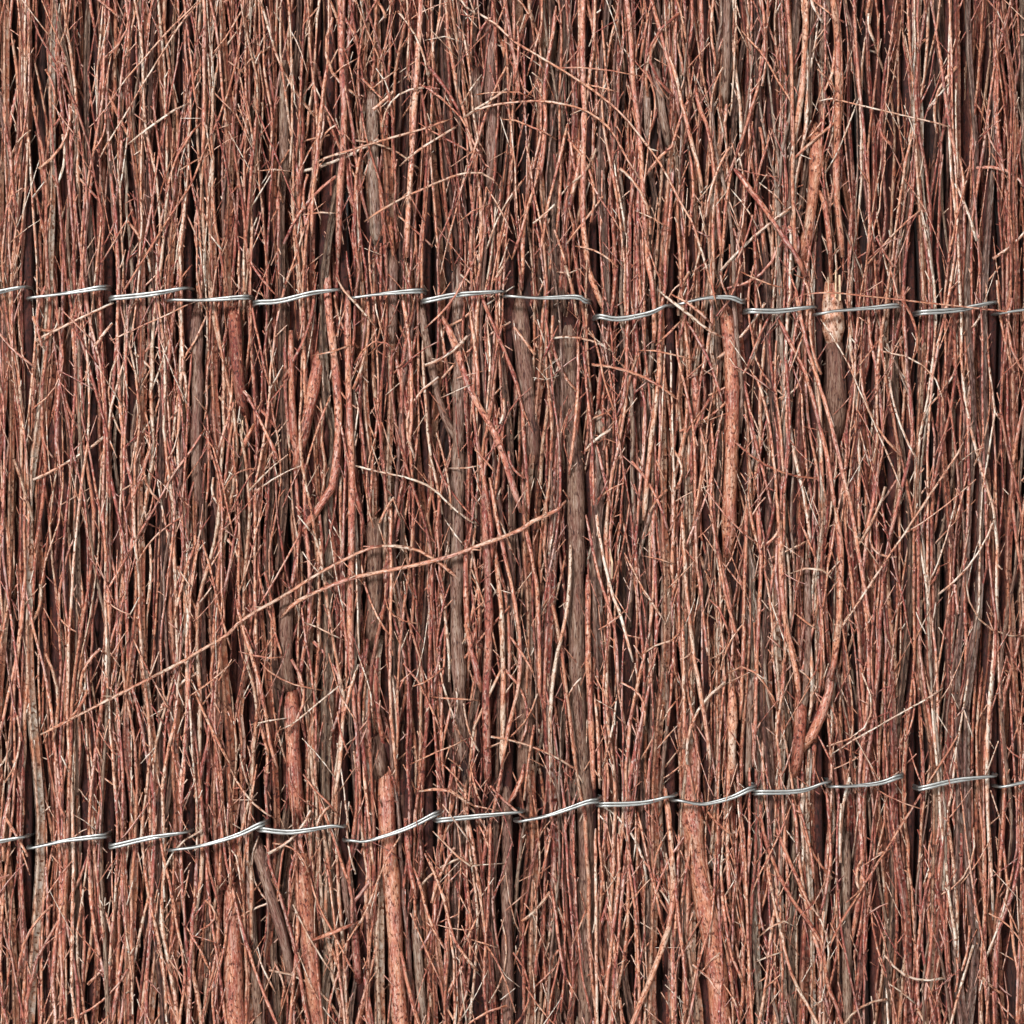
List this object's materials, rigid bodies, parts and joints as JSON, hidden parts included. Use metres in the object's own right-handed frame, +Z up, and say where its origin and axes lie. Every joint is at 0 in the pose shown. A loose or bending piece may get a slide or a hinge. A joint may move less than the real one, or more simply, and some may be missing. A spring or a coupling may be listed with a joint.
{
  "type": "heather screen fence",
  "caption": "Panel of brushwood screening: upright heather stems in narrow bundles, twined together by rows of galvanised wire, to be tied to a fence or rail.",
  "frame": {"origin": "middle of the bottom edge, halfway through the thickness", "axes": "+X along the screen, -Y to its front, +Z up along the stems"},
  "size_m": [0.412, 0.0144, 1],
  "materials": {
    "heather": "rough bark, orange brown to grey brown",
    "wire": "galvanised, dull silver"
  },
  "bodies": {
    "root": {"heather_mat": "heather", "row_01_wire_pair_a": "wire", "row_01_wire_pair_b": "wire", "row_02_wire_pair_a": "wire", "row_02_wire_pair_b": "wire", "row_03_wire_pair_a": "wire", "row_03_wire_pair_b": "wire", "row_04_wire_pair_a": "wire", "row_04_wire_pair_b": "wire", "row_05_wire_pair_a": "wire", "row_05_wire_pair_b": "wire", "row_06_wire_pair_a": "wire", "row_06_wire_pair_b": "wire", "row_07_wire_pair_a": "wire", "row_07_wire_pair_b": "wire", "row_08_wire_pair_a": "wire", "row_08_wire_pair_b": "wire", "row_09_wire_pair_a": "wire", "row_09_wire_pair_b": "wire", "row_10_wire_pair_a": "wire", "row_10_wire_pair_b": "wire"}
  },
  "joints": []
}
